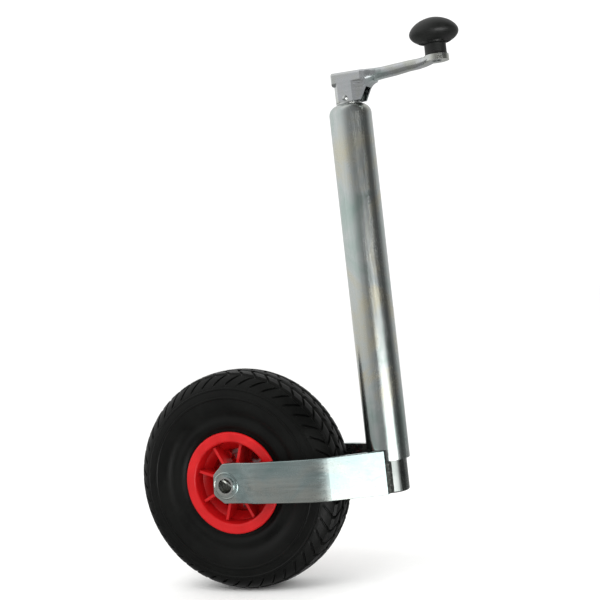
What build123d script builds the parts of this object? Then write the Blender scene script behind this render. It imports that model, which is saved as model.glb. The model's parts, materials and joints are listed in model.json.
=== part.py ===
"""Trailer jockey wheel: a 48 mm telescopic screw jack with a crank on top and a swivelling pneumatic wheel.

Frame: millimetres, +Z up along the tube axis, origin at the middle of the clamping length on that axis.
The wheel trails toward -X, its axle lies along Y, and the crank arm points toward +X.
"""
from build123d import *
import math
import os

# ---- driving dimensions -------------------------------------------------------------------------
clamp_radius = 24.0          # outside of the 48 mm outer tube
clamp_length = 390.5         # straight wall that a clamp can grip
tube_wall = 2.5
inner_radius = 20.0          # outside of the sliding tube
inner_length = 377.0
inner_overhang = 37.0        # sliding tube below the outer tube when fully retracted
run_gap = 0.05               # radial play of a shaft or a slide in its guide

axle_x = -184.2              # wheel axle from the tube axis
axle_drop = 15.6             # wheel axle below the outer tube's lower end
tyre_radius = 130.0          # 3.00-4 tyre, 260 mm across
bead_radius = 50.8           # 4 inch bead seat
rim_lip_radius = 60.2
rim_face_y = 37.0            # outer face of the rim flange and of the hub
rib_count = 8
first_rib_angle = 27.0
rim_screw_count = 4

arm_thickness = 6.0          # fork strap
arm_height = 49.2            # strap height at the sliding tube
arm_edge = 0.7               # rounding of the strap's edges
arm_corner = 5.0             # rounding of the outline's corners at the axle
arm_pad_y = 48.9             # middle of the strap at the axle
arm_wide_y = 55.0            # middle of the strap beside the tyre
arm_tube_y = 21.6            # middle of the strap at the sliding tube

spindle_radius = 9.0
journal_radius = 8.9
crank_reach = 106.5          # knob axis from the tube axis
sheet = 3.0                  # pressed crank wall
pin_radius = 4.0             # knob pin
ball_radius = 3.0
ball_circle = 14.5
ball_count = 12

# ---- places along the tube axis -----------------------------------------------------------------
tube_bottom = -clamp_length / 2
tube_top = clamp_length / 2
inner_bottom = tube_bottom - inner_overhang
inner_top = inner_bottom + inner_length
axle_z = tube_bottom - axle_drop
cap_top = tube_top + 10.2        # flat top of the outer tube's swaged end
collar_bottom = cap_top + 0.3
crank_bottom = collar_bottom + 2.8
ball_level = tube_top - 1.0
arm_rise = 34.2                  # top of the crank arm above the crank's lower edge
eye_top = crank_bottom + arm_rise
knob_bottom = eye_top + 0.7
axle_radius = 10.65
axle_bore = 8.5

wheel_axis = Axis((axle_x, 0, axle_z), (0, 1, 0))
wheel_section = Plane(origin=(axle_x, 0, axle_z), x_dir=(0, 0, 1), z_dir=(-1, 0, 0))
wheel_face = Plane(origin=(axle_x, 0, axle_z), x_dir=(1, 0, 0), z_dir=(0, -1, 0))

os.makedirs("parts", exist_ok=True)


def save(piece, name):
    """Label a finished piece and write it as one STEP file."""
    piece.part.label = name
    export_step(piece.part, f"parts/{name}.step")


def turned(outline):
    """A piece turned about the tube axis from its (radius, height) outline."""
    with BuildPart() as piece:
        with BuildSketch(Plane.XZ):
            with BuildLine():
                Polyline(*outline, close=True)
            make_face()
        revolve(axis=Axis.Z)
    return piece


def ring(bore, radius, low, high):
    """A plain ring about the tube axis."""
    return turned([(bore, low), (radius, low), (radius, high), (bore, high)])


def wheel_turned(outline):
    """A piece turned about the wheel axle from its (radius, y) outline."""
    with BuildPart() as piece:
        with BuildSketch(wheel_section):
            with BuildLine():
                Polyline(*outline, close=True)
            make_face()
        revolve(axis=wheel_axis)
    return piece


# ---- casing: outer tube, guide ring and the fixed half of the thrust bearing ----------------------
notch_depth = 12.5
notch_low_x, notch_high_x = -24.0, 8.0

with BuildPart() as outer_tube:
    with BuildSketch(Plane.XZ):
        with BuildLine():
            wall = Polyline(
                (journal_radius + run_gap, cap_top - 4.0), (18.0, cap_top - 4.0),
                (clamp_radius - tube_wall, tube_top - 1.0), (clamp_radius - tube_wall, tube_bottom),
                (clamp_radius, tube_bottom), (clamp_radius, tube_top),
            )
            shoulder = ThreePointArc(wall @ 1, (21.9, tube_top + 6.2), (16.4, cap_top))
            Polyline(shoulder @ 1, (journal_radius + run_gap, cap_top), wall @ 0)
        make_face()
    revolve(axis=Axis.Z)
    notch_x = (notch_low_x + notch_high_x) / 2
    with Locations((notch_x, 0, tube_bottom + notch_depth / 2)):
        Box(notch_high_x - notch_low_x, 2 * clamp_radius + 4, notch_depth, mode=Mode.SUBTRACT)
save(outer_tube, "outer_tube")

lower_guide_ring = ring(inner_radius + run_gap, clamp_radius - tube_wall, tube_bottom + 14, tube_bottom + 34)
save(lower_guide_ring, "lower_guide_ring")


def race(low, high):
    """One bearing race with the ball groove cut in the face that looks at the balls."""
    with BuildPart() as piece:
        with Locations((0, 0, low)):
            Cylinder(18.0, high - low, align=(Align.CENTER, Align.CENTER, Align.MIN))
            Cylinder(9.3 if low > ball_level else journal_radius, high - low,
                     align=(Align.CENTER, Align.CENTER, Align.MIN), mode=Mode.SUBTRACT)
        with Locations((0, 0, ball_level)):
            Torus(ball_circle, ball_radius + 0.1, mode=Mode.SUBTRACT)
    return piece


race_gap = 2.0
upper_race = race(ball_level + race_gap, cap_top - 4.0)
save(upper_race, "upper_race")

# ---- ball ring, which rolls round at half the crank's speed ---------------------------------------
with BuildPart() as bearing_balls:
    with Locations((0, 0, ball_level)):
        with PolarLocations(ball_circle, ball_count):
            Sphere(ball_radius)
save(bearing_balls, "bearing_balls")

with BuildPart() as ball_cage:
    with Locations((0, 0, ball_level)):
        Cylinder(18.0, 1.2)
        Cylinder(11.0, 1.2, mode=Mode.SUBTRACT)
        with PolarLocations(ball_circle, ball_count):
            Cylinder(ball_radius + run_gap, 1.2, mode=Mode.SUBTRACT)
save(ball_cage, "ball_cage")

# ---- crank: spindle, lower race, collar and the pressed crank arm ---------------------------------
flange_top = ball_level - race_gap - 4.0
spindle_top = crank_bottom + 17.0
spindle_bottom = tube_bottom + 47.0
rivet_radius = 2.4
rivet_level = crank_bottom + 4.2

with BuildPart() as spindle:
    with BuildSketch(Plane.XZ):
        with BuildLine():
            Polyline(
                (0, spindle_bottom), (spindle_radius - 1.5, spindle_bottom),
                (spindle_radius, spindle_bottom + 1.5), (spindle_radius, flange_top - 4.5),
                (15.0, flange_top - 4.5), (15.0, flange_top), (journal_radius, flange_top),
                (journal_radius, spindle_top - 1), (journal_radius - 1, spindle_top),
                (0, spindle_top), close=True,
            )
        make_face()
    revolve(axis=Axis.Z)
    with Locations(Location((0, 0, rivet_level), (90, 0, 0))):
        Cylinder(rivet_radius, 40, mode=Mode.SUBTRACT)
save(spindle, "spindle")

lower_race = race(flange_top, ball_level - race_gap)
save(lower_race, "lower_race")

stop_washer = ring(spindle_radius, 15.0, spindle_bottom + 3, spindle_bottom + 6)
save(stop_washer, "spindle_stop_washer")

with BuildPart() as top_collar:
    with Locations((0, 0, collar_bottom)):
        Cylinder(14.6, crank_bottom - collar_bottom, align=(Align.CENTER, Align.CENTER, Align.MIN))
        Cylinder(journal_radius, 10, align=(Align.CENTER, Align.CENTER, Align.MIN), mode=Mode.SUBTRACT)
    fillet(top_collar.edges().filter_by(GeomType.CIRCLE).sort_by(SortBy.RADIUS)[-2:], 1.0)
save(top_collar, "top_collar")

# the arm is one pressing: a skirt round the spindle head, a channel, a round middle and a flat eye
skirt_radius = 14.8          # round back of the skirt
skirt_half_width = 12.6      # flat sides of the skirt
eye_radius = 13.7
eye_thickness = 6.2
channel_end_x = 25.0
crease_x = 9.0               # where the skirt's sides start to close in
closing = 0.144              # how far each side closes in per millimetre of X
oval_x = 17.8
oval_rise = 0.7
arm_sections = [
    # x, width, height, corner radius, middle height above the crank's lower edge
    (-skirt_radius, 2 * skirt_half_width, 15.8, 4.0, 26.3),
    (20.0, 2 * skirt_half_width, 15.2, 5.0, 25.8),
    (26.0, 23.4, 14.6, 5.8, 25.8),
    (32.0, 20.0, 13.8, 6.2, 26.0),
    (38.0, 17.4, 13.2, 6.3, 26.2),
    (44.0, 16.0, 12.9, 6.2, 26.4),
    (58.0, 15.2, 12.9, 6.2, 27.1),
    (74.0, 15.0, 11.6, 5.6, 28.3),
    (85.0, 15.8, 11.0, 5.2, 28.6),
    (92.0, 18.0, 9.6, 4.6, 29.3),
    (97.0, 21.6, 7.8, 3.7, 30.2),
    (100.4, 24.4, eye_thickness, 2.9, arm_rise - eye_thickness / 2),
]
hollow_sections = [
    (channel_end_x - 2, 16.0, 10.2, 4.0, 25.9),
    (32.0, 14.4, 9.6, 4.4, 26.0),
    (44.0, 11.4, 8.4, 4.0, 26.4),
    (58.0, 10.2, 8.2, 3.9, 27.1),
    (80.0, 10.0, 6.2, 3.0, 28.7),
]


def both_edges(points):
    """A closed outline symmetric about the XZ plane, from the (x, y) points of one side."""
    return points + [(x, -y) for x, y in reversed(points)]


def stations(sections):
    """The plane across X and the rounded rectangle of each cross-section, in order along the arm."""
    for x, width, height, corner, middle in sections:
        across = Plane(origin=(x, 0, crank_bottom + middle), x_dir=(0, 1, 0), z_dir=(1, 0, 0))
        yield across, (width, height, corner)


with BuildPart() as crank_arm:
    for plane, size in stations(arm_sections):
        with BuildSketch(plane):
            RectangleRounded(*size)
    loft(ruled=True)
    fillet(crank_arm.faces().sort_by(Axis.X)[0].edges(), 1.6)
    with BuildSketch(Plane.XY.offset(eye_top - eye_thickness)):
        with Locations((crank_reach, 0)):
            Circle(eye_radius)
    extrude(amount=eye_thickness)
    # skirt that wraps round the spindle head and opens toward +X
    with BuildSketch(Plane.XY.offset(crank_bottom)):
        Circle(skirt_radius)
        Rectangle(80.0, 2 * skirt_half_width, mode=Mode.INTERSECT)
        Polygon(*both_edges([(0, skirt_half_width), (crease_x, skirt_half_width),
                             (crease_x + 25, skirt_half_width - 25 * closing)]), align=None)
    extrude(amount=24)
    # the free edge of the skirt leans out and sweeps up into the underside of the arm
    with BuildSketch(Plane.XZ):
        with BuildLine():
            lean = Line((16.8, crank_bottom - 1), (24.0, crank_bottom + 12.2))
            sweep_up = ThreePointArc(lean @ 1, (27.4, crank_bottom + 16.0), (35.0, crank_bottom + 18.6))
            Polyline(sweep_up @ 1, (35.0, crank_bottom - 1), lean @ 0)
        make_face()
    extrude(amount=20, both=True, mode=Mode.SUBTRACT)
    # hollow inside: round the spindle head and along the channel
    with BuildSketch(Plane.XY.offset(crank_bottom)):
        Circle(skirt_radius - sheet)
        Rectangle(80.0, 2 * (skirt_half_width - sheet), mode=Mode.INTERSECT)
        Polygon(*both_edges([(0, skirt_half_width - sheet), (crease_x - 0.4, skirt_half_width - sheet),
                             (channel_end_x, 7.4)]), align=None)
    extrude(amount=arm_rise - sheet - 0.4, mode=Mode.SUBTRACT)
    for plane, size in stations(hollow_sections):
        with BuildSketch(plane):
            RectangleRounded(*size)
    loft(ruled=True, mode=Mode.SUBTRACT)
    # raised oval embossed on both walls, with a sunk middle
    for side in (-1, 1):
        wall_face = Plane(
            origin=(oval_x, side * (skirt_half_width - (oval_x - crease_x) * closing), crank_bottom + 17.2),
            x_dir=(1, -side * closing, 0), z_dir=(closing, side, 0),
        )
        with BuildSketch(wall_face.offset(-sheet / 2)):
            SlotOverall(13.8, 5.6)
        extrude(amount=sheet / 2 + oval_rise)
        with BuildSketch(wall_face.offset(-0.6)):
            SlotOverall(11.2, 3.0)
        extrude(amount=oval_rise + 0.6, mode=Mode.SUBTRACT)
    with Locations(Location((0, 0, rivet_level), (90, 0, 0))):
        Cylinder(rivet_radius, 40, mode=Mode.SUBTRACT)
    with Locations((crank_reach, 0, eye_top - eye_thickness / 2)):
        Cylinder(pin_radius, 2 * eye_thickness, mode=Mode.SUBTRACT)
save(crank_arm, "crank_arm")

head_radius = 3.2
head_height = 1.6
dome = (head_radius ** 2 + head_height ** 2) / (2 * head_height)
dome_middle = dome * math.sin(math.asin(head_radius / dome) / 2)
dome_rise = skirt_half_width + head_height - dome + dome * math.cos(math.asin(head_radius / dome) / 2)
with BuildPart() as crank_rivet:
    with BuildSketch(Plane.XY.offset(rivet_level)):
        with BuildLine():
            first_head = ThreePointArc((0, -skirt_half_width - head_height), (dome_middle, -dome_rise),
                                       (head_radius, -skirt_half_width))
            shank = Polyline(first_head @ 1, (rivet_radius, -skirt_half_width),
                             (rivet_radius, skirt_half_width), (head_radius, skirt_half_width))
            second_head = ThreePointArc(shank @ 1, (dome_middle, dome_rise),
                                        (0, skirt_half_width + head_height))
            Line(second_head @ 1, first_head @ 0)
        make_face()
    revolve(axis=Axis((0, 0, rivet_level), (0, 1, 0)))
save(crank_rivet, "crank_rivet")

# ---- knob and its pin ------------------------------------------------------------------------------
barb_low = knob_bottom + 22.0


def knob_turned(outline):
    """A piece turned about the knob axis from its (radius, height) outline."""
    with BuildPart() as piece:
        with BuildSketch(Plane.XZ):
            with BuildLine():
                Polyline(*[(crank_reach + r, z) for r, z in outline], close=True)
            make_face()
        revolve(axis=Axis((crank_reach, 0, 0), (0, 0, 1)))
    return piece


eye_bottom = eye_top - eye_thickness
knob_pin = knob_turned([
    (0, eye_bottom - 1.4), (4.4, eye_bottom - 1.4), (6.0, eye_bottom), (pin_radius, eye_bottom),
    (pin_radius, barb_low), (5.4, barb_low), (5.4, barb_low + 1.5), (3.0, barb_low + 6), (0, barb_low + 6),
])
save(knob_pin, "knob_pin")

washer_top = eye_top + 0.6
knob_washer = knob_turned([
    (pin_radius, eye_top), (9.0, eye_top), (9.0, washer_top), (pin_radius, washer_top),
])
save(knob_washer, "knob_washer")

with BuildPart() as knob:
    with BuildSketch(Plane.XZ):
        with BuildLine():
            bore = Polyline(
                (0, barb_low + 6.5), (3.4, barb_low + 6.5), (5.8, barb_low + 1.8), (5.8, barb_low - 0.3),
                (pin_radius + run_gap, barb_low - 0.3), (pin_radius + run_gap, knob_bottom),
                (12.3, knob_bottom), (11.9, knob_bottom + 2), (11.9, knob_bottom + 11.2),
            )
            under = ThreePointArc(bore @ 1, (14.0, knob_bottom + 15.6), (17.4, knob_bottom + 13.6))
            lip = Spline(
                under @ 1, (22.0, knob_bottom + 16.4), (25.4, knob_bottom + 19.6), (27.0, knob_bottom + 23.8),
                (26.0, knob_bottom + 27.6), (23.0, knob_bottom + 31.6), (18.4, knob_bottom + 35.3),
                (12.5, knob_bottom + 38.2), (6.0, knob_bottom + 40.1), (0, knob_bottom + 40.7),
            )
            Line(lip @ 1, bore @ 0)
        make_face()
    revolve(axis=Axis.Z)
knob.part.locate(Location((crank_reach, 0, 0)))
save(knob, "knob")

# ---- nut that travels on the spindle ----------------------------------------------------------------
nut_bore = spindle_radius + run_gap
spindle_nut = turned([
    (nut_bore, inner_top - 24), (inner_radius - tube_wall - run_gap, inner_top - 24),
    (inner_radius - tube_wall - run_gap, inner_top + 0.1), (inner_radius - 0.5, inner_top + 0.1),
    (inner_radius - 0.5, inner_top + 4), (nut_bore, inner_top + 4),
])
save(spindle_nut, "spindle_nut")

# ---- fork: sliding tube, two strap arms, welds and axle ----------------------------------------------
with BuildPart() as inner_tube:
    with Locations((0, 0, inner_bottom)):
        Cylinder(inner_radius, inner_length, align=(Align.CENTER, Align.CENTER, Align.MIN))
    fillet(inner_tube.edges().filter_by(GeomType.CIRCLE).sort_by(Axis.Z)[0], 2.2)
    with Locations((0, 0, inner_bottom - 1)):
        Cylinder(inner_radius - tube_wall, inner_length + 2, align=(Align.CENTER, Align.CENTER, Align.MIN),
                 mode=Mode.SUBTRACT)
save(inner_tube, "inner_tube")

end_plug = ring(0, inner_radius - tube_wall, inner_bottom + 0.5, inner_bottom + 5.5)
save(end_plug, "inner_tube_end_plug")

arm_heel_x = 4.3
arm_low = inner_bottom - 0.2
arm_high = arm_low + arm_height
relief_radius = clamp_radius + 0.9
# side outline: square at the sliding tube, chamfered round the axle
arm_outline = [
    (arm_heel_x, arm_low), (arm_heel_x, arm_high), (axle_x - 1.5, axle_z + 25.7),
    (axle_x - 14.9, axle_z + 12.8), (axle_x - 16.7, axle_z - 10.4), (axle_x - 4.0, axle_z - 20.7),
]

for side, name in ((-1, "right_fork_arm"), (1, "left_fork_arm")):
    with BuildPart() as fork_arm:
        with BuildSketch(Plane.XY.offset(arm_low - 2)):
            with BuildLine():
                FilletPolyline(
                    (arm_heel_x + 2, side * arm_tube_y), (-68.2, side * arm_wide_y),
                    (-145.0, side * arm_wide_y), (-166.0, side * arm_pad_y),
                    (axle_x - 20, side * arm_pad_y), radius=[70, 20, 20],
                )
            trace(line_width=arm_thickness)
        extrude(amount=arm_height + 4)
        with BuildSketch(Plane.XZ):
            with BuildLine():
                Polyline(*arm_outline, close=True)
            outline_face = make_face()
            fillet(outline_face.vertices().sort_by(Axis.X)[:4], arm_corner)
        extrude(amount=80, both=True, mode=Mode.INTERSECT)
        fillet(fork_arm.edges(), arm_edge)
        with Locations(Location((axle_x, side * (arm_pad_y + arm_thickness / 2 - 0.5), axle_z), (90, 0, 0))):
            Torus(14.8, 1.3)
        with Locations(Location((axle_x, 0, axle_z), (90, 0, 0))):
            Cylinder(axle_radius, 200, mode=Mode.SUBTRACT)
        Cylinder(inner_radius, 600, mode=Mode.SUBTRACT)
        with Locations((0, 0, tube_bottom - 0.5)):
            Cylinder(relief_radius, 60, align=(Align.CENTER, Align.CENTER, Align.MIN), mode=Mode.SUBTRACT)
    save(fork_arm, name)

with BuildPart() as weld_beads:
    with BuildSketch(Plane.XY.offset(inner_bottom + 1)):
        with BuildLine():
            Polyline(
                (arm_heel_x, 25.0), (arm_heel_x, 18.5), (8.6, 16.8), (9.0, 18.4), (7.2, 22.0), close=True,
            )
        make_face()
        mirror(about=Plane.XZ)
    extrude(amount=inner_overhang - 2.5)
    Cylinder(inner_radius, 500, mode=Mode.SUBTRACT)
save(weld_beads, "weld_beads")


def along_axle(low, high):
    """Where a cylinder stands so that it runs along the axle from y = low to y = high."""
    return Location((axle_x, (low + high) / 2, axle_z), (90, 0, 0))


axle_end = arm_pad_y + arm_thickness / 2 + 1.8
pin_y = 42.8
pin_size = 1.6
pin_tilt = 33.0
with BuildPart() as axle_tube:
    with Locations(along_axle(-axle_end, axle_end)):
        Cylinder(axle_radius, 2 * axle_end)
        Cylinder(axle_bore, 2 * axle_end, mode=Mode.SUBTRACT)
    for side in (-1, 1):
        with Locations(Location((axle_x, side * pin_y, axle_z), (0, 90 + pin_tilt, 0))):
            Cylinder(pin_size, 60, mode=Mode.SUBTRACT)
save(axle_tube, "axle_tube")

with BuildPart() as split_pins:
    for side in (-1, 1):
        with Locations(Location((axle_x, side * pin_y, axle_z), (0, 90 + pin_tilt, 0))):
            Cylinder(pin_size, 30)
save(split_pins, "axle_split_pins")

with BuildPart() as axle_washers:
    for side in (-1, 1):
        with Locations(along_axle(side * (rim_face_y + 1.4), side * (rim_face_y + 3.2))):
            Cylinder(17.0, 1.8)
            Cylinder(axle_radius, 1.8, mode=Mode.SUBTRACT)
save(axle_washers, "axle_washers")

# ---- wheel: two moulded rim halves, bushes, screws, tyre, air tube and valve ---------------------------
bush_radius = 13.0
hub_radius = 19.0
web = 5.0
rib_end = 46.0
rib_width = 3.2
rib_depth = 26.0
half_pitch = 180 / rib_count
rib_angles = [first_rib_angle + number * 360 / rib_count for number in range(rib_count)]
window_low, window_high = 24.0, 36.0
ledge_y = 17.0               # top of the rounded ledge between the barrel and the windows
screw_hole = 3.0
screw_boss = 6.0
boss_y = 11.0
screw_depth = 8.0
screw_circle = 33.0
valve_angle = math.radians(first_rib_angle + half_pitch)
valve_circle = 40.5
valve_x = axle_x + valve_circle * math.cos(valve_angle)
valve_z = axle_z + valve_circle * math.sin(valve_angle)
valve_y = 14.0


def radial_spot(radius, y):
    """A cylinder's place on the valve's radial line, pointing away from the axle."""
    x = axle_x + radius * math.cos(valve_angle)
    z = axle_z + radius * math.sin(valve_angle)
    return Location(Plane(origin=(x, y, z), z_dir=(math.cos(valve_angle), 0, math.sin(valve_angle))))


for side, name in ((-1, "rim_near_half"), (1, "rim_far_half")):
    rim_face = wheel_face.offset(-side * web)
    with BuildPart() as rim:
        with BuildSketch(wheel_section):
            with BuildLine():
                seat = Polyline(
                    (bush_radius, 0), (bead_radius, 0), (bead_radius, side * 30.5), (53.0, side * 31.6),
                    (rim_lip_radius - 1.2, side * 32.4),
                )
                lip = ThreePointArc(seat @ 1, (rim_lip_radius, side * 34.6),
                                    (rim_lip_radius - 3, side * rim_face_y))
                face = Line(lip @ 1, (50.8, side * rim_face_y))
                roll = ThreePointArc(face @ 1, (48.7, side * 36.1), (47.8, side * 34.2))
                barrel = Line(roll @ 1, (46.4, side * (ledge_y + 3)))
                ledge = ThreePointArc(barrel @ 1, (42.6, side * ledge_y),
                                      (window_high + 1.6, side * (ledge_y - 5)))
                Polyline(
                    ledge @ 1, (window_high + 0.8, side * web), (hub_radius + 1, side * web),
                    (hub_radius, side * rim_face_y), (bush_radius, side * rim_face_y), seat @ 0,
                )
            make_face()
        revolve(axis=wheel_axis)
        with BuildSketch(rim_face):
            for rib_angle in rib_angles:
                with PolarLocations((hub_radius + rib_end) / 2, 1, start_angle=rib_angle):
                    Rectangle(rib_end - hub_radius + 1, rib_width)
        extrude(amount=side * -rib_depth)
        with BuildSketch(wheel_face.offset(-side * web / 2)):
            for rib_angle in rib_angles:
                corners = [math.radians(rib_angle + half_pitch + turn) for turn in (-13, 0, 13)]
                with BuildLine():
                    low_arc = ThreePointArc(*[(window_low * math.cos(t), window_low * math.sin(t))
                                              for t in corners])
                    high_arc = ThreePointArc(*[(window_high * math.cos(t), window_high * math.sin(t))
                                               for t in reversed(corners)])
                    Line(low_arc @ 1, high_arc @ 0)
                    Line(high_arc @ 1, low_arc @ 0)
                make_face()
        extrude(amount=web, both=True, mode=Mode.SUBTRACT)
        # bosses for the screws; the far half takes the heads in a counterbore
        with BuildSketch(wheel_face):
            with PolarLocations(screw_circle, rim_screw_count, start_angle=first_rib_angle):
                Circle(screw_boss)
        extrude(amount=side * -boss_y)
        with BuildSketch(wheel_face):
            with PolarLocations(screw_circle, rim_screw_count, start_angle=first_rib_angle):
                Circle(screw_hole)
        extrude(amount=side * (-boss_y if side > 0 else -screw_depth), mode=Mode.SUBTRACT)
        if side > 0:
            with BuildSketch(wheel_face.offset(-boss_y)):
                with PolarLocations(screw_circle, rim_screw_count, start_angle=first_rib_angle):
                    Circle(screw_boss)
            extrude(amount=-20.0, mode=Mode.SUBTRACT)
            with Locations(radial_spot(48.0, valve_y)):
                Cylinder(4.2, 14.0, mode=Mode.SUBTRACT)
            with Locations(Location((valve_x, web + 15.0, valve_z), (90, 0, 0))):
                Cylinder(5.0, 30.0, mode=Mode.SUBTRACT)
    save(rim, name)

with BuildPart() as rim_screws:
    with BuildSketch(wheel_face.offset(screw_depth)):
        with PolarLocations(screw_circle, rim_screw_count, start_angle=first_rib_angle):
            Circle(screw_hole)
    extrude(amount=-screw_depth - boss_y)
    with BuildSketch(wheel_face.offset(-boss_y)):
        with PolarLocations(screw_circle, rim_screw_count, start_angle=first_rib_angle):
            Circle(5.6)
            RegularPolygon(3.0, 6, mode=Mode.SUBTRACT)
    extrude(amount=-3.5)
save(rim_screws, "rim_screws")

with BuildPart() as hub_bushes:
    for side in (-1, 1):
        with Locations(along_axle(side * 14.0, side * rim_face_y)):
            Cylinder(bush_radius, rim_face_y - 14.0)
        with Locations(along_axle(side * rim_face_y, side * (rim_face_y + 1))):
            Cylinder(16.5, 1.0)
    with Locations(along_axle(-50, 50)):
        Cylinder(axle_radius + run_gap, 100, mode=Mode.SUBTRACT)
save(hub_bushes, "hub_bushes")

# tyre and air tube outlines, as (radius, y) from the crown round the +y side to the rim
tyre_outside = [
    (130.0, 5.5), (129.4, 14.5), (127.8, 23.5), (123.4, 29.8), (117.2, 34.2), (109.2, 37.2), (100.2, 38.4),
    (91.0, 38.0), (82.0, 36.4), (74.0, 33.9), (68.0, 31.4), (64.0, 30.6), (52.9, 31.3), (bead_radius, 30.2),
    (bead_radius, 20.0),
]
tyre_inside = [
    (58.0, 20.0), (70.0, 25.0), (84.0, 30.5), (100.0, 32.6), (113.0, 30.2), (120.0, 21.8), (122.0, 7.5),
]
tube_outside = [
    (121.6, 7.5), (119.7, 21.4), (112.8, 29.8), (100.0, 32.2), (84.1, 30.1), (70.2, 24.6), (57.9, 19.6),
    (51.0, 19.6),
]
tube_inside = [
    (53.2, 17.4), (59.0, 17.6), (71.0, 22.6), (84.6, 28.0), (99.9, 30.0), (111.6, 27.8), (117.8, 20.4),
    (119.4, 7.5),
]


def both_sides(points):
    """A closed outline: the given points, then the same radii back at -y."""
    return points + [(r, -y) for r, y in reversed(points)]


tyre = wheel_turned(both_sides(tyre_outside + tyre_inside))
save(tyre, "tyre")

with BuildPart() as air_tube:
    with BuildSketch(wheel_section):
        with BuildLine():
            Polyline(*both_sides(tube_outside), close=True)
        make_face()
        with BuildLine():
            Polyline(*both_sides(tube_inside), close=True)
        make_face(mode=Mode.SUBTRACT)
    revolve(axis=wheel_axis)
save(air_tube, "air_tube")

with BuildPart() as valve_stem:
    with Locations(radial_spot((valve_circle + bead_radius) / 2, valve_y)):
        Cylinder(3.9, bead_radius - valve_circle)
    with Locations(Location((valve_x, valve_y, valve_z), (90, 0, 0))):
        Sphere(3.9)
    with Locations(Location((valve_x, (valve_y + 35) / 2, valve_z), (90, 0, 0))):
        Cylinder(3.9, 35 - valve_y)
save(valve_stem, "valve_stem")

with BuildPart() as valve_cap:
    with Locations(Location((valve_x, 38.0, valve_z), (90, 0, 0))):
        Cylinder(4.4, 6.0)
    fillet(valve_cap.edges().filter_by(GeomType.CIRCLE).sort_by(Axis.Y)[-1], 1.2)
save(valve_cap, "valve_cap")
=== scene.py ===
"""The looks of the trailer jockey wheel: its materials, a treaded tyre, and the studio it stands in."""
import json
import math

import bmesh
import bpy
from mathutils import Matrix, Vector


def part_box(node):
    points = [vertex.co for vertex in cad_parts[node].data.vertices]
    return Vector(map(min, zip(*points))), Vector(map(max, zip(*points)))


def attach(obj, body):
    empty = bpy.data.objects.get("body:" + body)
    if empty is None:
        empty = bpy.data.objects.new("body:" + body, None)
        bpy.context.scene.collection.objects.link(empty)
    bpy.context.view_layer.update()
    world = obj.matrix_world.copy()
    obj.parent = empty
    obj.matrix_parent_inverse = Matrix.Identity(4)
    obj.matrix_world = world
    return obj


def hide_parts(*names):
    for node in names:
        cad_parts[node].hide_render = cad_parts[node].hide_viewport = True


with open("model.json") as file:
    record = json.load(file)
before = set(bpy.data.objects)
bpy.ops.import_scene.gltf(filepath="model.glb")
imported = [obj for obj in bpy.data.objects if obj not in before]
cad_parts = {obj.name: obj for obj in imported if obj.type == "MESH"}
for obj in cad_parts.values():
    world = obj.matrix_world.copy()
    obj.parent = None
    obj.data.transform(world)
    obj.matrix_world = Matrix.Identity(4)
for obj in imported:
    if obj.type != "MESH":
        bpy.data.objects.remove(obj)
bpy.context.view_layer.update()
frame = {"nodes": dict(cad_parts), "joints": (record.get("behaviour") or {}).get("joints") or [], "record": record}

MM = 0.001
joints = {j["name"]: j for j in frame["joints"]}
AXLE = Vector(joints["wheel_spin"]["pos_m"])
FLOOR_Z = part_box("tyre")[0].z


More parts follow.
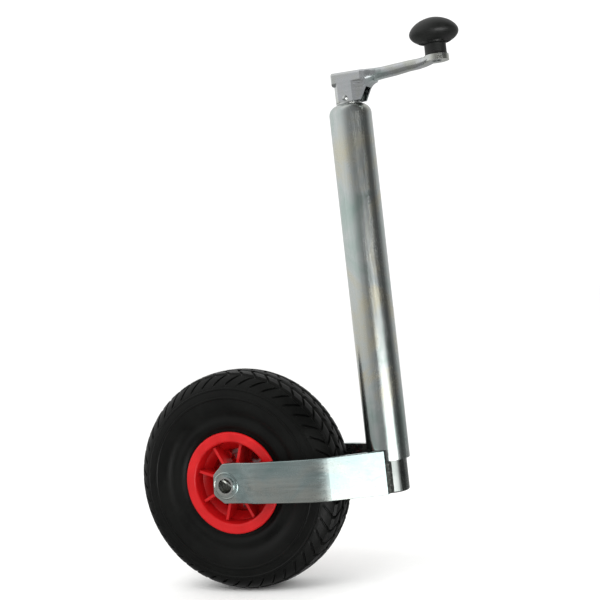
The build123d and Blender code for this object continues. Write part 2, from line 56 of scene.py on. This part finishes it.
# ---------------------------------------------------------------------------------------------------
# node helpers
# ---------------------------------------------------------------------------------------------------
class Shader:
    """A Principled material with short calls for the nodes that feed it."""

    def __init__(self, name):
        self.material = bpy.data.materials.new(name)
        self.material.use_nodes = True
        self.tree = self.material.node_tree
        self.surface = self.tree.nodes["Principled BSDF"]
        self.place = self.tree.nodes.new("ShaderNodeTexCoord").outputs["Object"]

    def set(self, **values):
        for name, value in values.items():
            self.surface.inputs[name.replace("_", " ")].default_value = value

    def node(self, kind, inputs=None, **settings):
        made = self.tree.nodes.new("ShaderNode" + kind)
        for name, value in settings.items():
            setattr(made, name, value)
        for name, value in (inputs or {}).items():
            socket = made.inputs[name]
            if isinstance(value, bpy.types.NodeSocket):
                self.tree.links.new(value, socket)
            else:
                socket.default_value = value
        return made

    def stretched(self, scale):
        """The object's own coordinates, stretched by a scale on each axis."""
        return self.node("Mapping", {"Vector": self.place, "Scale": scale}).outputs["Vector"]

    def noise(self, scale, detail=3.0, rough=0.5, vector=None, distortion=0.0):
        return self.node("TexNoise", {"Vector": vector or self.place, "Scale": scale, "Detail": detail,
                                      "Roughness": rough, "Distortion": distortion}).outputs["Fac"]

    def ramp(self, value, *stops):
        made = self.node("ValToRGB", {"Fac": value})
        elements = made.color_ramp.elements
        while len(elements) < len(stops):
            elements.new(0.5)
        for element, (position, colour) in zip(elements, stops):
            element.position = position
            element.color = colour if len(colour) == 4 else (*colour, 1.0)
        return made.outputs["Color"]

    def range(self, value, low, high, start=0.3, end=0.7):
        return self.node("MapRange", {"Value": value, "From Min": start, "From Max": end,
                                      "To Min": low, "To Max": high}).outputs["Result"]

    def mix(self, factor, first, second, blend="MIX"):
        made = self.node("Mix", data_type="RGBA", blend_type=blend)
        sockets = (made.inputs["Factor"], made.inputs[6], made.inputs[7])
        for socket, value in zip(sockets, (factor, first, second)):
            if isinstance(value, bpy.types.NodeSocket):
                self.tree.links.new(value, socket)
            else:
                socket.default_value = value if isinstance(value, float) else (*value, 1.0)
        return made.outputs[2]

    def add(self, first, second):
        return self.node("Math", {0: first, 1: second}, operation="ADD").outputs["Value"]

    def times(self, value, factor):
        return self.node("Math", {0: value, 1: factor}, operation="MULTIPLY").outputs["Value"]

    def colour(self, socket):
        self.tree.links.new(socket, self.surface.inputs["Base Color"])

    def roughness(self, socket):
        self.tree.links.new(socket, self.surface.inputs["Roughness"])

    def bump(self, height, depth, strength=1.0):
        made = self.node("Bump", {"Height": height, "Distance": depth, "Strength": strength})
        self.tree.links.new(made.outputs["Normal"], self.surface.inputs["Normal"])


# ---------------------------------------------------------------------------------------------------
# materials
# ---------------------------------------------------------------------------------------------------
def zinc(name, tones, smooth, rough, streaks=(1.0, 1.0, 0.05), cloud=14.0, streak_depth=0.00002):
    """Bright zinc plate: clouds of passivation tint, drawn streaks and a fine crystalline speckle."""
    s = Shader(name)
    s.set(Metallic=1.0)
    clouds = s.noise(cloud, 4.0, 0.6, distortion=0.8)
    tint = s.ramp(clouds, (0.30, tones[0]), (0.48, tones[1]), (0.62, tones[2]), (0.78, tones[1]))
    drawn = s.noise(260.0, 3.0, 0.55, s.stretched(streaks))
    speckle = s.noise(1100.0, 2.0, 0.6)
    shade = s.ramp(drawn, (0.30, (0.80, 0.80, 0.80)), (0.70, (1.0, 1.0, 1.0)))
    s.colour(s.mix(0.55, tint, s.mix(1.0, tint, shade, "MULTIPLY")))
    uneven = s.add(s.range(drawn, smooth, rough), s.range(speckle, -0.03, 0.03))
    s.roughness(s.add(uneven, s.range(clouds, -0.03, 0.05)))
    s.bump(s.add(drawn, s.times(speckle, 0.5)), streak_depth)
    return s.material


def weld_metal():
    """Dark rough weld with a few bright ripples."""
    s = Shader("weld_metal")
    s.set(Metallic=0.85)
    ripple = s.noise(420.0, 4.0, 0.65)
    s.colour(s.ramp(
        ripple,
        (0.35, (0.02, 0.02, 0.02)),
        (0.55, (0.09, 0.10, 0.09)),
        (0.75, (0.34, 0.36, 0.34)),
    ))
    s.roughness(s.range(ripple, 0.35, 0.65))
    s.bump(ripple, 0.0012)
    return s.material


def plain_metal(name, dark, light, low, high):
    """Machined metal with a fine grain, its roughness between low and high."""
    s = Shader(name)
    s.set(Metallic=1.0)
    grain = s.noise(500.0, 3.0, 0.6)
    s.colour(s.ramp(grain, (0.3, dark), (0.7, light)))
    s.roughness(s.range(grain, low, high))
    s.bump(grain, 0.00002)
    return s.material


def red_plastic():
    """Glossy moulded red plastic with faint flow marks and a little scuffing."""
    s = Shader("red_plastic")
    s.set(Coat_Weight=0.12, Coat_Roughness=0.15, Specular_IOR_Level=0.22)
    flow = s.noise(22.0, 3.0, 0.5, distortion=1.4)
    scuff = s.noise(300.0, 4.0, 0.7)
    s.colour(s.ramp(
        flow,
        (0.30, (0.40, 0.005, 0.006)),
        (0.55, (0.49, 0.007, 0.009)),
        (0.75, (0.56, 0.011, 0.011)),
    ))
    s.roughness(s.add(s.range(flow, 0.26, 0.36), s.range(scuff, -0.03, 0.06)))
    s.bump(s.add(flow, s.times(scuff, 0.15)), 0.00012)
    return s.material


def black_plastic():
    """Half-matt black plastic with a hazy surface."""
    s = Shader("black_plastic")
    s.set(Specular_IOR_Level=0.35)
    grain = s.noise(1500.0, 3.0, 0.6)
    haze = s.noise(40.0, 3.0, 0.6)
    s.colour(s.ramp(haze, (0.3, (0.005, 0.0055, 0.005)), (0.7, (0.012, 0.013, 0.012))))
    s.roughness(s.range(haze, 0.38, 0.52))
    s.bump(grain, 0.00006)
    return s.material


def rubber(name, dark, light, low, high, depth, shine=0.5):
    """Moulded rubber with a dull bloom and a fine mould texture."""
    s = Shader(name)
    s.set(Specular_IOR_Level=shine)
    bloom = s.noise(18.0, 5.0, 0.65, distortion=0.6)
    grain = s.noise(900.0, 3.0, 0.6)
    wide = s.ramp(bloom, (0.32, dark), (0.70, light))
    fine = s.ramp(grain, (0.3, dark), (0.75, light))
    s.colour(s.mix(0.35, wide, fine))
    s.roughness(s.add(s.range(bloom, low, high), s.range(grain, -0.05, 0.05)))
    s.bump(grain, depth)
    return s.material


def moulded(name, dark, light, rough):
    """Plain moulded plastic."""
    s = Shader(name)
    haze = s.noise(60.0, 3.0, 0.6)
    s.colour(s.ramp(haze, (0.3, dark), (0.7, light)))
    s.roughness(s.range(haze, rough - 0.05, rough + 0.08))
    s.bump(s.noise(800.0), 0.00003)
    return s.material


def floor_material():
    """Pale matt floor."""
    s = Shader("pale_floor")
    fine = s.noise(90.0, 4.0, 0.6)
    s.colour(s.ramp(fine, (0.3, (0.94, 0.94, 0.93)), (0.7, (0.96, 0.96, 0.95))))
    s.roughness(s.range(fine, 0.75, 0.88))
    return s.material


GREEN_GREY, NEUTRAL, STRAW = (0.43, 0.54, 0.50), (0.58, 0.62, 0.61), (0.64, 0.62, 0.50)
finishes = {
    "zinc_tube": zinc("zinc_tube", (GREEN_GREY, NEUTRAL, STRAW), 0.19, 0.27),
    "zinc_inner": zinc("zinc_inner", ((0.20, 0.22, 0.21), (0.28, 0.30, 0.29), (0.26, 0.27, 0.25)),
                       0.22, 0.34),
    "zinc_strap": zinc("zinc_strap", ((0.38, 0.50, 0.49), (0.46, 0.55, 0.54), (0.54, 0.57, 0.53)), 0.20, 0.31,
                       streaks=(0.05, 1.0, 1.0)),
    "weld": weld_metal(),
    "zinc_small": zinc("zinc_small", ((0.52, 0.56, 0.54), (0.62, 0.64, 0.63), (0.62, 0.62, 0.56)), 0.20, 0.32,
                       streaks=(1.0, 1.0, 1.0)),
    "crank_zinc": zinc("crank_zinc", ((0.52, 0.62, 0.60), (0.66, 0.68, 0.70), (0.62, 0.64, 0.58)), 0.18, 0.30,
                       streaks=(0.05, 1.0, 1.0), cloud=22.0),
    "bare_steel": plain_metal("bare_steel", (0.30, 0.30, 0.29), (0.48, 0.48, 0.47), 0.25, 0.4),
    "bronze": plain_metal("bronze", (0.40, 0.29, 0.14), (0.55, 0.42, 0.22), 0.35, 0.5),
    "black_plastic": black_plastic(),
    "white_plastic": moulded("white_plastic", (0.66, 0.66, 0.63), (0.78, 0.78, 0.75), 0.4),
    "red_plastic": red_plastic(),
    "tyre_rubber": rubber("tyre_rubber", (0.0018, 0.0020, 0.0018), (0.0062, 0.0066, 0.0058),
                          0.30, 0.55, 0.0001, 0.16),
    "tube_rubber": rubber("tube_rubber", (0.015, 0.015, 0.015), (0.03, 0.03, 0.03), 0.45, 0.6, 0.00005),
    "brass": plain_metal("brass", (0.55, 0.40, 0.18), (0.72, 0.56, 0.28), 0.2, 0.35),
}

slots = {part["node"]: part["material_slot"] for part in frame["record"]["subparts"]}
for node, thing in frame["nodes"].items():
    thing.data.materials.clear()
    thing.data.materials.append(finishes[slots[node]])


def shade_by_angle(thing, degrees):
    """Smooth shading that keeps edges sharper than the angle."""
    mesh = thing.data
    mesh.polygons.foreach_set("use_smooth", [True] * len(mesh.polygons))
    mesh.set_sharp_from_angle(angle=math.radians(degrees))


for thing in frame["nodes"].values():
    shade_by_angle(thing, 32)


def new_piece(name, mesh, slot, body, replaces=()):
    """Link a finished mesh as a piece that rides on a body and takes a slot's finish."""
    thing = bpy.data.objects.new(name, mesh)
    bpy.context.scene.collection.objects.link(thing)
    mesh.materials.append(finishes[slot])
    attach(thing, body)
    if replaces:
        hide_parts(*replaces)
    return thing


# ---------------------------------------------------------------------------------------------------
# tyre: sidewalls with moulded rings, slanted shoulder lugs and zigzag crown blocks
# ---------------------------------------------------------------------------------------------------
LUGS = 46                      # tread pitches round the tyre
GROOVE = 2.4 * MM              # depth of the tread grooves
RING_HEIGHT = 0.9 * MM
RINGS = (100.5 * MM, 111.0 * MM)
RING_REACH = 0.8 * MM          # outline points this near to a ring's radius are raised

# half of the tyre's outline, as (radius, y) in mm from the crown to the bead
TYRE_HALF = [
    (130.0, 0.0), (130.0, 2.8), (129.95, 5.6), (129.8, 8.6), (129.6, 11.6), (129.2, 14.5), (128.7, 17.5),
    (128.0, 20.5), (127.0, 23.3), (125.6, 25.9), (123.8, 28.4), (121.6, 30.8), (119.2, 32.9), (117.4, 34.1),
    (115.6, 35.1), (114.0, 35.8), (112.4, 36.3), (111.6, 36.6), (111.0, 36.75), (110.4, 36.9),
    (109.5, 37.15), (107.0, 37.6), (104.0, 37.9), (102.0, 37.95), (101.2, 37.95), (100.5, 37.95),
    (99.8, 37.95), (99.0, 37.95), (95.5, 37.9), (91.0, 37.7), (87.6, 37.2), (85.6, 36.6), (83.2, 35.3),
    (80.6, 33.9), (77.6, 33.4), (74.0, 34.2), (71.0, 34.5), (68.2, 34.0), (65.8, 32.9), (64.4, 31.8),
    (62.6, 31.0), (59.6, 30.8), (52.0, 30.8), (51.0, 26.0),
]
SHOULDER_END = 15              # outline points from the crown that carry tread
# circumferential groove rows: outline steps that sink all the way round
ROUND_GROOVES = {3: 0.8, 8: 0.85}


def tread_slant(step):
    """How far round, in pitches, a groove has slanted at an outline step from the crown."""
    zigzag = [0.0, 0.16, 0.32, 0.40, 0.28, 0.10, -0.06, -0.20,
              -0.26, -0.12, 0.06, 0.24, 0.42, 0.56, 0.66, 0.70]
    return zigzag[min(step, SHOULDER_END)]


def make_tyre():
    """A tyre skin whose columns follow the slanted grooves, so that every lug has crisp walls."""
    # one pitch: (place in the pitch, groove share) from the middle of a groove to the next
    columns = [(0.0, 1.0), (0.07, 1.0), (0.12, 0.0), (0.15, 0.0), (0.36, 0.0), (0.58, 0.0), (0.80, 0.0),
               (0.85, 0.0), (0.88, 0.0), (0.93, 1.0)]
    sides = [(r, y, i) for i, (r, y) in enumerate(TYRE_HALF)]
    profile = [(r, -y, i, -1) for r, y, i in reversed(sides[1:])] + [(r, y, i, 1) for r, y, i in sides]
    mesh = bmesh.new()
    rows = []
    for index, (radius, y, step, side) in enumerate(profile):
        before = profile[max(index - 1, 0)]
        after = profile[min(index + 1, len(profile) - 1)]
        along = Vector((after[0] - before[0], after[1] - before[1])).normalized()
        normal = Vector((-along.y, along.x))
        if normal.x < 0 and step < 8:
            normal = -normal
        if normal.y * side < 0 and step >= 8:
            normal = -normal
        row = []
        for pitch in range(LUGS):
            for place, groove in columns:
                depth = 0.0
                if step <= SHOULDER_END:
                    fade = 1.0 if step <= 12 else max(0.0, (SHOULDER_END - step) / 3.0)
                    depth = GROOVE * fade * max(groove, ROUND_GROOVES.get(step, 0.0))
                ring = RING_HEIGHT if min(abs(radius * MM - r) for r in RINGS) < RING_REACH else 0.0
                half_step = 0.5 if side < 0 else 0.0
                turn = (pitch + place + tread_slant(step) + half_step) / LUGS * 2 * math.pi
                r = radius * MM + normal.x * (ring - depth)
                at = y * MM + normal.y * (ring - depth)
                spot = (AXLE.x + r * math.cos(turn), AXLE.y + at, AXLE.z + r * math.sin(turn))
                row.append(mesh.verts.new(spot))
        rows.append(row)
    count = len(rows[0])
    for low, high in zip(rows, rows[1:]):
        for i in range(count):
            j = (i + 1) % count
            mesh.faces.new((low[i], low[j], high[j], high[i]))
    # close the skin under the beads
    for i in range(count):
        j = (i + 1) % count
        mesh.faces.new((rows[-1][i], rows[-1][j], rows[0][j], rows[0][i]))
    bmesh.ops.recalc_face_normals(mesh, faces=mesh.faces)
    data = bpy.data.meshes.new("tyre_tread")
    mesh.to_mesh(data)
    mesh.free()
    return data


tyre = new_piece("tyre_treaded", make_tyre(), "tyre_rubber", "wheel", ("tyre",))
shade_by_angle(tyre, 38)

# ---------------------------------------------------------------------------------------------------
# stage: floor, lights, camera
# ---------------------------------------------------------------------------------------------------
def plane(name, size, z):
    """A square of floor, which reflections don't show."""
    mesh = bpy.data.meshes.new(name)
    h = size / 2
    mesh.from_pydata([(-h, -h, z), (h, -h, z), (h, h, z), (-h, h, z)], [], [(0, 1, 2, 3)])
    thing = bpy.data.objects.new(name, mesh)
    bpy.context.scene.collection.objects.link(thing)
    mesh.materials.append(floor_material())
    thing.visible_glossy = False
    return thing


plane("floor", 24.0, FLOOR_Z)


def softbox(name, place, target, size, power):
    """A soft area light that leaves no highlight of its own."""
    light = bpy.data.lights.new(name, "AREA")
    light.shape = "RECTANGLE"
    light.size, light.size_y = size
    light.energy = power
    thing = bpy.data.objects.new(name, light)
    thing.location = place
    thing.rotation_euler = (Vector(target) - Vector(place)).to_track_quat("-Z", "Y").to_euler()
    bpy.context.scene.collection.objects.link(thing)
    thing.visible_glossy = False
    return thing


softbox("key", (-0.5, -1.3, 1.5), (-0.05, 0.0, -0.1), (1.2, 1.2), 16.0)
softbox("side", (1.4, -0.9, 0.5), (0.0, 0.0, -0.15), (0.8, 1.0), 8.0)

# what reflections see round the studio: (angle to the right of the lens side in degrees, brightness)
HIGH_BAND = [
    (-180, 0.75), (-110, 0.90), (-85, 0.95), (-60, 0.85), (-40, 0.52), (-15, 0.26), (25, 0.20), (60, 0.11),
    (82, 0.07), (104, 0.30), (125, 0.60), (180, 0.75),
]
LOW_BAND = [
    (-180, 0.45), (-110, 0.20), (-70, 0.22), (-45, 0.26), (-20, 0.30), (5, 0.45), (40, 0.45), (62, 0.14),
    (85, 0.03), (105, 0.12), (130, 0.34), (180, 0.45),
]
# the low lamp: the angle and the drop of its middle, its half width and half height in degrees
LAMP_ANGLE, LAMP_DROP, LAMP_WIDE, LAMP_TALL = 24, 22, 26, 16
LAMP_LEVEL = 5.0
WHITE_LEVEL = 1.12
LENS_SIDE = Vector((0.4032, -0.9151, 0.0))
LENS_RIGHT = Vector((0.9151, 0.4032, 0.0))


def studio_world():
    """A white studio with darker flags and a low lamp, which only reflections pick out."""
    world = bpy.data.worlds.new("studio")
    bpy.context.scene.world = world
    world.use_nodes = True
    tree = world.node_tree
    tree.nodes.clear()

    def node(kind, inputs=(), **settings):
        made = tree.nodes.new("ShaderNode" + kind)
        for name, value in settings.items():
            setattr(made, name, value)
        for socket, value in zip(made.inputs, inputs):
            if isinstance(value, bpy.types.NodeSocket):
                tree.links.new(value, socket)
            elif value is not None:
                socket.default_value = value
        return made

    def math_node(operation, *inputs, clamp=False):
        return node("Math", inputs, operation=operation, use_clamp=clamp).outputs[0]

    direction = tree.nodes.new("ShaderNodeTexCoord").outputs["Generated"]
    across = node("VectorMath", (direction, LENS_RIGHT), operation="DOT_PRODUCT").outputs["Value"]
    towards = node("VectorMath", (direction, LENS_SIDE), operation="DOT_PRODUCT").outputs["Value"]
    height = node("SeparateXYZ", (direction,)).outputs["Z"]
    angle = math_node("ARCTAN2", across, towards)
    around = math_node("MULTIPLY_ADD", angle, 0.5 / math.pi, 0.5)

    def band(stops):
        ramp = node("ValToRGB", (around,))
        elements = ramp.color_ramp.elements
        while len(elements) < len(stops):
            elements.new(0.5)
        for element, (degrees, level) in zip(elements, stops):
            element.position = degrees / 360 + 0.5
            element.color = (level, level, level, 1.0)
        return ramp.outputs["Color"]

    low_share = math_node("MULTIPLY_ADD", height, -9.0, -0.45, clamp=True)
    bands = node("Mix", data_type="RGBA")
    tree.links.new(low_share, bands.inputs["Factor"])
    tree.links.new(band(HIGH_BAND), bands.inputs[6])
    tree.links.new(band(LOW_BAND), bands.inputs[7])
    # the low lamp is a window with round corners
    aside = math_node("SUBTRACT", angle, math.radians(LAMP_ANGLE))
    above = math_node("ADD", height, math.sin(math.radians(LAMP_DROP)))
    wide = math_node("MULTIPLY", aside, 1 / math.radians(LAMP_WIDE))
    tall = math_node("MULTIPLY", above, 1 / math.sin(math.radians(LAMP_TALL)))
    spread = [math_node("POWER", math_node("ABSOLUTE", side), 4.0) for side in (wide, tall)]
    reach = math_node("POWER", math_node("ADD", *spread), 0.25)
    lamp = math_node("MULTIPLY_ADD", reach, -5.0, 5.4, clamp=True)
    lit = node("Mix", data_type="RGBA")
    tree.links.new(lamp, lit.inputs["Factor"])
    tree.links.new(bands.outputs[2], lit.inputs[6])
    lit.inputs[7].default_value = (LAMP_LEVEL, LAMP_LEVEL, LAMP_LEVEL, 1.0)

    reflected = node("Background", (lit.outputs[2], 1.0))
    white = node("Background", ((1.0, 1.0, 1.0, 1.0), WHITE_LEVEL))
    path = tree.nodes.new("ShaderNodeLightPath")
    choose = node("MixShader", (path.outputs["Is Glossy Ray"], white.outputs[0], reflected.outputs[0]))
    out = tree.nodes.new("ShaderNodeOutputWorld")
    tree.links.new(choose.outputs[0], out.inputs["Surface"])


studio_world()

# camera: where it stands and its right, up and back directions
CAMERA_PLACE = Vector((0.45335, -1.22719, 0.00754))
CAMERA_RIGHT = Vector((0.90985, 0.39964, -0.11164))
CAMERA_UP = Vector((0.09786, 0.0548, 0.99369))
CAMERA_LENS = 69.28

camera_data = bpy.data.cameras.new("camera")
camera_data.lens = CAMERA_LENS
camera_data.sensor_width = 36.0
camera_data.clip_end = 100.0
camera = bpy.data.objects.new("camera", camera_data)
turn = Matrix((CAMERA_RIGHT, CAMERA_UP, CAMERA_RIGHT.cross(CAMERA_UP))).transposed()
camera.matrix_world = Matrix.Translation(CAMERA_PLACE) @ turn.to_4x4()
bpy.context.scene.collection.objects.link(camera)
bpy.context.scene.camera = camera

bpy.context.scene.view_settings.view_transform = "Standard"
